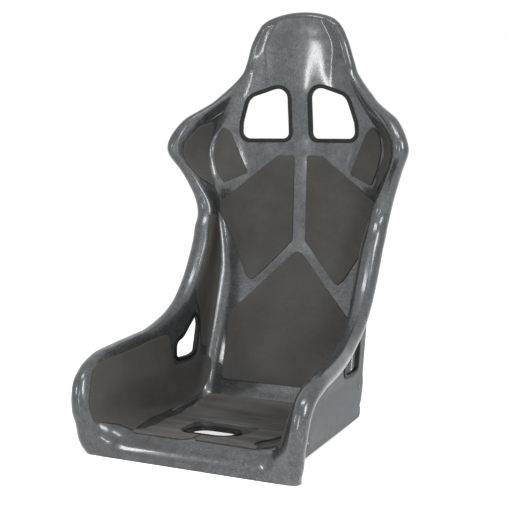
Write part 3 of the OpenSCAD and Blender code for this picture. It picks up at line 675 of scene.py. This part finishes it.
def new_material(name):
    material = bpy.data.materials.new(name)
    material.use_nodes = True
    tree = material.node_tree
    place = put(tree, "ShaderNodeTexCoord").outputs["Object"]
    return material, tree, tree.nodes["Principled BSDF"], place


def patches(tree, place, scale, low, high):
    return put(tree, "ShaderNodeGroup", {"Vector": place, "Scale": scale, "Low": low, "High": high},
               node_tree=uneven_patches).outputs["Value"]


def ramp(tree, value, stops):
    """Colours along a value: (place, colour)."""
    node = put(tree, "ShaderNodeValToRGB", {"Fac": value})
    while len(node.color_ramp.elements) < len(stops):
        node.color_ramp.elements.new(0.5)
    for element, (at, colour) in zip(node.color_ramp.elements, stops):
        element.position = at
        element.color = (*colour, 1)
    return node.outputs["Color"]


def mixed(tree, share, first, second, blend="MIX"):
    node = put(tree, "ShaderNodeMix", data_type="RGBA", blend_type=blend)
    for index, value in ((0, share), (6, first), (7, second)):
        if isinstance(value, bpy.types.NodeSocket):
            tree.links.new(value, node.inputs[index])
        else:
            node.inputs[index].default_value = value if index == 0 else (*value, 1)
    return node.outputs[2]


def combined(tree, operation, first, second):
    node = put(tree, "ShaderNodeMath", operation=operation)
    for index, value in enumerate((first, second)):
        if isinstance(value, bpy.types.NodeSocket):
            tree.links.new(value, node.inputs[index])
        else:
            node.inputs[index].default_value = value
    return node.outputs["Value"]


def ranged(tree, value, start, end):
    """0 to 1 as a value goes from its start to its end."""
    node = put(tree, "ShaderNodeMapRange", {"Value": value, "From Min": start, "From Max": end})
    return node.outputs["Result"]


GEL_DARK = (0.030, 0.033, 0.035)
GEL_MID = (0.062, 0.068, 0.072)
GEL_PALE = (0.190, 0.202, 0.212)
SIDE_GREY = (0.105, 0.113, 0.117)

gelcoat, tree, gel, place = new_material("strand_gelcoat")
strands = put(tree, "ShaderNodeGroup", {"Vector": place, "Scale": 520.0, "Cover": 0.53},
              node_tree=chopped_strands).outputs["Mask"]
body = ramp(tree, patches(tree, place, 70.0, 0.0, 1.0), [(0.0, GEL_DARK), (1.0, GEL_MID)])
veil = patches(tree, place, 9.0, 0.15, 0.75)
flecked = mixed(tree, combined(tree, "MULTIPLY", strands, veil), body, GEL_PALE)
normal = put(tree, "ShaderNodeNewGeometry").outputs["Normal"]
facing = put(tree, "ShaderNodeSeparateXYZ", {"Vector": normal}).outputs["X"]
axes = put(tree, "ShaderNodeSeparateXYZ", {"Vector": place}).outputs
outside = ranged(tree, combined(tree, "MULTIPLY", facing, axes["X"]), 0.15, 0.17)
beside_rim = ranged(tree, combined(tree, "ABSOLUTE", axes["X"], 0.0), 0.210, 0.205)
low_down = ranged(tree, axes["Z"], 0.36, 0.26)
sprayed = combined(tree, "MULTIPLY", outside, combined(tree, "MULTIPLY", beside_rim, low_down))
tree.links.new(mixed(tree, sprayed, flecked, SIDE_GREY), gel.inputs["Base Color"])
rough = patches(tree, place, 60.0, 0.27, 0.36)
tree.links.new(combined(tree, "ADD", rough, combined(tree, "MULTIPLY", sprayed, 0.25)),
               gel.inputs["Roughness"])
for bare_value, socket in ((0.5, "Metallic"), (0.6, "Coat Weight")):
    tree.links.new(combined(tree, "SUBTRACT", bare_value, combined(tree, "MULTIPLY", sprayed, bare_value)),
                   gel.inputs[socket])
gel.inputs["Coat Roughness"].default_value = 0.1
grain = put(tree, "ShaderNodeBump", {"Height": strands, "Strength": 0.08, "Distance": 0.0002})
tree.links.new(grain.outputs["Normal"], gel.inputs["Normal"])
shell.data.materials.append(gelcoat)
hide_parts("seat_shell")
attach(shell, "root")


# ---- Cover panels -----------------------------------------------------------------------------
# Thin sheets of matte board, cut to shape and bonded to the inside of the shell with adhesive:
# two on the upper back, one on the lower back, and a pair each at thighs, waist and wings.

PANEL = 2.5
BOND = 0.2                  # adhesive under a panel
PANEL_EDGE = 0.9            # rounding of its upper edge
PANEL_DARK = (0.046, 0.044, 0.040)
PANEL_BODY = (0.066, 0.064, 0.058)

upper_back = moved([(16, -14, 8), (55, -15, 10), (202, -128, 9), (202, -150, 9), (122, -298, 10),
                    (106, -311, 10), (16, -209, 9)], AT_WINGS)
lower_back = moved(doubled([(0, 299, 18), (151, 133, 16), (149, -21, 14)]), AT_FOOT)
thigh = moved([(404, -112, 8), (402, -135, 60), (375, -239, 200), (349, -334, 60), (327, -382, 40),
               (245, -454, 50), (210, -477, 12), (184, -461, 20), (169, -451, 12), (132, -457, 6),
               (141, -422, 40), (161, -353, 200), (191, -216, 200), (200, -108, 40), (190, -68, 60),
               (177, -7, 30), (182, 27, 10), (200, 17, 20), (258, -31, 60), (286, -60, 100), (301, -84, 30),
               (317, -113, 12), (382, -90, 20), (394, -88, 8)], AT_FOOT)
waist = moved([(206, -167, 10), (270, -159, 10), (277, -275, 200), (283, -331, 100), (316, -427, 12),
               (300, -451, 10), (266, -449, 20), (223, -504, 7), (191, -483, 9), (188, -440, 60),
               (187, -320, 300)], AT_WINGS)
wing_inner = moved([(128, -56, 6), (169, 36, 14), (185, 52, 9), (203, 34, 40), (211, -4, 60),
                    (203, -50, 60), (187, -80, 6)], AT_WINGS)
wing_outer = moved([(213, 62, 5), (250, 52, 26), (292, 16, 20), (296, -10, 20), (282, -34, 40),
                    (247, -68, 60), (206, -93, 5), (213, -68, 30), (222, -38, 40), (226, -6, 60),
                    (221, 22, 40), (208, 46, 12)], AT_WINGS)


def bent_to_shell(obj, lift):
    """A flat sheet, drawn as [across, along, height], is pressed on to the shell."""
    mesh = obj.data
    flat = np.empty(len(mesh.vertices) * 3)
    mesh.vertices.foreach_get("co", flat)
    flat = flat.reshape(-1, 3) / MM
    points, _ = on_shell(flat[:, :2], flat[:, 2] + lift)
    mesh.vertices.foreach_set("co", (points * MM).ravel())
    mesh.update()


def sheet_panel(name, outline, cell=6, lift=BOND):
    """A panel cut to an outline: thickened, its upper edge rounded, then bent to the shell."""
    bpy.ops.mesh.primitive_circle_add(vertices=len(outline), radius=0.2, fill_type="NGON")
    obj = bpy.context.object
    obj.name = name
    flat = np.hstack([outline, np.zeros((len(outline), 1))]) * MM
    obj.data.vertices.foreach_set("co", flat.ravel())
    obj.data.update()
    bpy.ops.object.mode_set(mode="EDIT")
    bpy.ops.mesh.select_all(action="SELECT")
    bpy.ops.mesh.extrude_region_move(TRANSFORM_OT_translate={"value": (0, 0, PANEL * MM)})
    bpy.ops.mesh.select_mode(type="EDGE")
    bm = bmesh.from_edit_mesh(obj.data)
    for e in bm.edges:
        e.select_set(all(v.co.z > PANEL * MM / 2 for v in e.verts))
    bmesh.update_edit_mesh(obj.data)
    bpy.ops.mesh.bevel(offset=PANEL_EDGE * MM, segments=3, affect="EDGES", clamp_overlap=False)
    low, high = outline.min(axis=0), outline.max(axis=0)
    for axis in (0, 1):
        normal = (1, 0, 0) if axis == 0 else (0, 1, 0)
        for at in np.arange(math.ceil(low[axis] / cell + 0.1), high[axis] / cell - 0.1) * cell:
            bpy.ops.mesh.select_all(action="SELECT")
            bpy.ops.mesh.bisect(plane_co=tuple(at * MM * np.array(normal)), plane_no=normal)
    bpy.ops.object.mode_set(mode="OBJECT")
    bent_to_shell(obj, lift)
    outwards(obj)
    pick(obj)
    bpy.ops.object.shade_smooth_by_angle(angle=math.radians(40))
    return obj


panel_board, tree, board, place = new_material("matte_board")
cloud = patches(tree, place, 9.0, 0.0, 1.0)
weave = patches(tree, place, 420.0, 0.86, 1.12)
tone = ramp(tree, cloud, [(0.0, PANEL_DARK), (1.0, PANEL_BODY)])
tree.links.new(mixed(tree, 1.0, tone, weave, "MULTIPLY"), board.inputs["Base Color"])
tree.links.new(patches(tree, place, 35.0, 0.62, 0.8), board.inputs["Roughness"])
board.inputs["Specular IOR Level"].default_value = 0.25
nap = put(tree, "ShaderNodeBump", {"Height": weave, "Strength": 0.15, "Distance": 0.0002})
tree.links.new(nap.outputs["Normal"], board.inputs["Normal"])

sheets = {"lower_back_panel": lower_back}
for kind, corners in (("upper_back", upper_back), ("thigh", thigh), ("waist", waist),
                      ("wing_inner", wing_inner), ("wing_outer", wing_outer)):
    sheets[kind + "_panel_left"] = corners
    sheets[kind + "_panel_right"] = mirrored(corners)
for node_name, corners in sheets.items():
    panel = sheet_panel(node_name.replace("panel", "cover"), refined(rounded(corners), 5))
    panel.data.materials.append(panel_board)
    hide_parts(node_name)
    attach(panel, "root")


# ---- Seat base panel --------------------------------------------------------------------------
# One sheet lies on the seat base. It is slit from its front edge to a wide cut-out round the crotch
# slot, so that it can be laid over the strap, and its right flap is trimmed a little shorter.

base_corners = moved([(1.5, -23, 3), (146, -25, 5), (118, -8, 12), (119, 34, 60), (153, 179, 200),
                      (182, 287, 60), (184, 345, 30), (168, 379, 22), (-168, 379, 22), (-184, 345, 30),
                      (-182, 287, 60), (-153, 179, 200), (-119, 34, 60), (-118, -8, 12), (-146, -28, 5),
                      (-26, -28, 10), (-7, -17, 8), (-1.5, 4, 2), (-44, 4, 30), (-66, 50, 60),
                      (-72, 128, 26), (-44, 162, 30), (44, 162, 30), (72, 128, 26), (66, 50, 60),
                      (44, 4, 30), (1.5, 4, 2)], AT_NOSE)
# Colours of the base board: its dark tone, and the pale of its streaks, which are partly the board's grain
# and partly a painted sheen
BASE_DARK = (0.060, 0.057, 0.053)
BASE_GRAIN_SHEEN = (0.125, 0.120, 0.113)

base_board, tree, board, place = new_material("polished_board")
# Stretched noise draws the streaks into the colour: partly the board's brushed grain, partly a painted sheen
swirl = put(tree, "ShaderNodeMapping", {"Vector": place, "Rotation": (0, 0, 0.6), "Scale": (4, 22, 1)})
grain_and_sheen_streaks = put(tree, "ShaderNodeTexNoise", {"Vector": swirl.outputs["Vector"], "Scale": 1.0, "Detail": 3.0,
                                           "Distortion": 0.8}).outputs["Fac"]
tone = ramp(tree, grain_and_sheen_streaks, [(0.38, BASE_DARK), (0.66, BASE_GRAIN_SHEEN)])
tree.links.new(tone, board.inputs["Base Color"])
tree.links.new(patches(tree, place, 30.0, 0.42, 0.6), board.inputs["Roughness"])
board.inputs["Specular IOR Level"].default_value = 0.35
base_panel = sheet_panel("seat_base_cover", refined(rounded(base_corners), 5))
base_panel.data.materials.append(base_board)
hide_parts("seat_base_panel")
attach(base_panel, "root")


# ---- Rubber edge trims ------------------------------------------------------------------------
# An extruded U-strip of black rubber is pushed over the sawn edge of each belt opening, so that the
# laminate doesn't chafe the belt. Its lips are rounded and its inner wall has a shallow groove.

TRIM_LEG = 7
TRIM_WALL = 2
TRIM_GAP = 0.35
TRIM_GROOVE = 0.6
TRIM_NOSE = 1.6             # radius where a leg turns into the inner wall
RUBBER = (0.006, 0.006, 0.006)
RUBBER_WORN = (0.018, 0.017, 0.016)


def trim_profile(skin):
    """The strip's section as [outwards from the opening's edge, above the face]."""
    top, low = TRIM_GAP + TRIM_WALL, -skin - TRIM_GAP - TRIM_WALL
    r = TRIM_WALL / 2
    half_turn = np.radians([-90, -45, 0, 45, 90])
    lip_top, lip_low = ([(TRIM_LEG - r + r * math.cos(a), z + r * math.sin(a)) for a in half_turn]
                        for z in (top - r, low + r))
    nose_top = [(-TRIM_WALL + TRIM_NOSE * (1 - math.sin(a)), top - TRIM_NOSE * (1 - math.cos(a)))
                for a in np.radians([0, 30, 60, 90])]
    nose_low = [(x, low + top - z) for x, z in reversed(nose_top)]
    mid = (top + low) / 2
    groove = [(-TRIM_WALL, mid + 1.2), (-TRIM_WALL + TRIM_GROOVE, mid + 0.5),
              (-TRIM_WALL + TRIM_GROOVE, mid - 0.5), (-TRIM_WALL, mid - 1.2)]
    return np.array(lip_top + nose_top + groove + nose_low + lip_low
                    + [(-TRIM_GAP, -skin - TRIM_GAP), (-TRIM_GAP, TRIM_GAP)])


def edge_strip(name, corners):
    outline = refined(rounded(corners), 4)
    points, normals = on_shell(outline)
    along = np.roll(points, -1, axis=0) - np.roll(points, 1, axis=0)
    away = unit(np.cross(along, normals))
    if np.sum(away * (points - points.mean(axis=0))) < 0:
        away = -away
    profile = trim_profile(SKIN)
    grid = points[:, None] + profile[None, :, :1] * away[:, None] + profile[None, :, 1:] * normals[:, None]
    n, m = grid.shape[:2]
    faces = [(i * m + j, (i + 1) % n * m + j, (i + 1) % n * m + (j + 1) % m, i * m + (j + 1) % m)
             for i in range(n) for j in range(m)]
    strip = mesh_object(name, grid.reshape(-1, 3), faces)
    outwards(strip)
    pick(strip)
    bpy.ops.object.shade_smooth_by_angle(angle=math.radians(50))
    return strip


edge_rubber, tree, rubber, place = new_material("edge_rubber")
wear = patches(tree, place, 40.0, 0.0, 1.0)
tree.links.new(ramp(tree, wear, [(0.2, RUBBER), (1.0, RUBBER_WORN)]), rubber.inputs["Base Color"])
tree.links.new(patches(tree, place, 90.0, 0.38, 0.52), rubber.inputs["Roughness"])
rubber.inputs["Specular IOR Level"].default_value = 0.2
skin_grain = put(tree, "ShaderNodeBump", {"Height": patches(tree, place, 700.0, 0.0, 1.0), "Strength": 0.1,
                                          "Distance": 0.0002})
tree.links.new(skin_grain.outputs["Normal"], rubber.inputs["Normal"])
for node_name, corners in openings.items():
    strip = edge_strip(node_name.replace("slot_trim", "edging"), corners)
    strip.data.materials.append(edge_rubber)
    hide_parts(node_name)
    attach(strip, "root")


# ---- Threaded inserts -------------------------------------------------------------------------
# Each side is bolted to its bracket by two steel hexagons laid up in the wall, tapped M8. They were
# sprayed over with the wall, so that only the thread is bare.

PITCH = 1.25
THREAD_D = 8
THREAD_CORE = 6.65
CHAMFER = 0.6
DULL_STEEL = (0.30, 0.31, 0.33)
BARE_STEEL = (0.42, 0.43, 0.45)

steel, tree, metal, place = new_material("zinc_steel")
bare = ramp(tree, patches(tree, place, 260.0, 0.0, 1.0), [(0.0, DULL_STEEL), (1.0, BARE_STEEL)])
spot = put(tree, "ShaderNodeSeparateXYZ", {"Vector": place}).outputs["X"]
painted = ranged(tree, combined(tree, "ABSOLUTE", spot, 0.0), 0.2026, 0.2029)
tree.links.new(mixed(tree, painted, bare, SIDE_GREY), metal.inputs["Base Color"])
tree.links.new(combined(tree, "SUBTRACT", 1.0, painted), metal.inputs["Metallic"])
rough = patches(tree, place, 120.0, 0.28, 0.45)
tree.links.new(combined(tree, "ADD", rough, combined(tree, "MULTIPLY", painted, 0.2)),
               metal.inputs["Roughness"])


def thread_tap(x0, x1, mount, sign):
    """The space that a tapped hole leaves: a bar with a helical crest."""
    rounds, rows = 48, int((x1 - x0) / PITCH * 8)    # points round the bar, and eight rows to a turn
    grid = []
    for k in range(rows + 1):
        x = x0 + (x1 - x0) * k / rows
        for i in range(rounds):
            phase = (x / PITCH - i / rounds) % 1
            tooth = min(1.0, 2.4 * min(phase, 1 - phase))
            d = THREAD_CORE + (THREAD_D - THREAD_CORE) * (1 - tooth)
            mouth = max(0.0, THREAD_D + 1.2 - 2 * (FACE_X - x)) if x > FACE_X - 1 else 0
            r = max(d, mouth) / 2
            a = 2 * math.pi * i / rounds
            grid.append((sign * x, mount[0] + r * math.cos(a), mount[1] + r * math.sin(a)))
    faces = [(k * rounds + i, k * rounds + (i + 1) % rounds, (k + 1) * rounds + (i + 1) % rounds,
              (k + 1) * rounds + i) for k in range(rows) for i in range(rounds)]
    faces += [tuple(range(rounds)), tuple(rows * rounds + i for i in range(rounds))]
    tap = mesh_object("tap", grid, faces)
    outwards(tap)
    return tap


for node_name, sign, mount in [(f"{row_name}_insert_{side}", sign, at)
                               for side, sign in (("left", 1), ("right", -1))
                               for row_name, at in MOUNTS.items()]:
    insert = hexagon_bar(node_name.replace("insert", "nut"), mount, HALF_HIP + 2, FACE_X, INSERT_AF, sign,
                         CHAMFER / 2)
    cut(insert, thread_tap(HALF_HIP + 1, FACE_X + 1, mount, sign))
    pick(insert)
    bpy.ops.object.shade_smooth_by_angle(angle=math.radians(35))
    insert.data.materials.append(steel)
    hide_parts(node_name)
    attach(insert, "root")


# ---- Side mounting plates ---------------------------------------------------------------------
# A flat steel plate is laid up inside each side wall and ties the two inserts together. It is the
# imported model's own solid, and takes the same zinc-plated finish.

for node_name in ("side_mount_plate_left", "side_mount_plate_right"):
    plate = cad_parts.get(node_name)
    if plate is not None:
        plate.data.materials.clear()
        plate.data.materials.append(steel)


# ---- Studio -----------------------------------------------------------------------------------
# The seat stands on a white sheet under soft boxes.

bpy.ops.mesh.primitive_plane_add(size=30, location=(0, 0, -0.0002))
floor = bpy.context.object
floor.name = "floor"
sheet_white = bpy.data.materials.new("white_sheet")
sheet_white.use_nodes = True
tree = sheet_white.node_tree
sheet = tree.nodes["Principled BSDF"]
sheet.inputs["Base Color"].default_value = (0.8, 0.8, 0.8, 1)
sheet.inputs["Roughness"].default_value = 1.0
sheet.inputs["Specular IOR Level"].default_value = 0.0
sheet.inputs["Emission Color"].default_value = (1, 1, 1, 1)


def seen_directly(tree):
    """1 for rays that show the background itself, and 0 for those that light the object."""
    path = put(tree, "ShaderNodeLightPath").outputs
    return combined(tree, "MAXIMUM", path["Is Camera Ray"],
                    combined(tree, "MAXIMUM", path["Is Glossy Ray"], path["Is Transmission Ray"]))


FLOOR_GLOW = 0.72           # what the sheet adds to its own lit white, seen directly
tree.links.new(combined(tree, "MULTIPLY", seen_directly(tree), FLOOR_GLOW), sheet.inputs["Emission Strength"])
floor.data.materials.append(sheet_white)

AMBIENT = 0.42              # level at which the room lights the seat; seen directly it is white
world = bpy.data.worlds.new("white_room")
bpy.context.scene.world = world
world.use_nodes = True
tree = world.node_tree
room = tree.nodes["Background"]
room.inputs["Color"].default_value = (1, 1, 1, 1)
level_up = put(tree, "ShaderNodeMapRange", {"Value": seen_directly(tree), "To Min": AMBIENT, "To Max": 1.0})
tree.links.new(level_up.outputs["Result"], room.inputs["Strength"])


def soft_box(name, place, aim, size, power):
    data = bpy.data.lights.new(name, "AREA")
    data.shape = "RECTANGLE"
    data.size, data.size_y = size
    data.energy = power
    lamp = bpy.data.objects.new(name, data)
    bpy.context.scene.collection.objects.link(lamp)
    lamp.location = place
    lamp.rotation_euler = (Vector(place) - Vector(aim)).to_track_quat("Z", "Y").to_euler()
    return lamp


SEAT_MIDDLE = (0, 0, 0.45)


def around_seat(azimuth, height, distance):
    """A place at a distance from the middle of the seat, by directions in degrees."""
    a, e = math.radians(azimuth), math.radians(height)
    x, y, z = SEAT_MIDDLE
    return (x + distance * math.sin(a) * math.cos(e), y - distance * math.cos(a) * math.cos(e),
            z + distance * math.sin(e))


soft_box("left_strip", around_seat(-32, 10, 2.4), SEAT_MIDDLE, (0.12, 0.5), 6)
soft_box("front_strip", around_seat(7, 4, 2.4), SEAT_MIDDLE, (0.12, 0.9), 8)
soft_box("right_box", around_seat(56, 24, 2.4), SEAT_MIDDLE, (0.6, 1.3), 34)
soft_box("top_box", around_seat(4, 62, 2.2), SEAT_MIDDLE, (1.3, 0.4), 20)

# The camera stands at the seat's front left, a little above it
VIEW_AZIMUTH = 24.8
VIEW_DROP = 7.06
camera_data = bpy.data.cameras.new("view")
camera_data.sensor_width = 36
camera_data.lens = 72.35
camera_data.clip_start = 0.05
camera = bpy.data.objects.new("view", camera_data)
bpy.context.scene.collection.objects.link(camera)
camera.location = (0.9015, -1.9165, 0.638)
camera.rotation_euler = (math.radians(90 - VIEW_DROP), 0, math.radians(VIEW_AZIMUTH))
bpy.context.scene.camera = camera
bpy.context.scene.view_settings.view_transform = "Standard"

deselect_all()
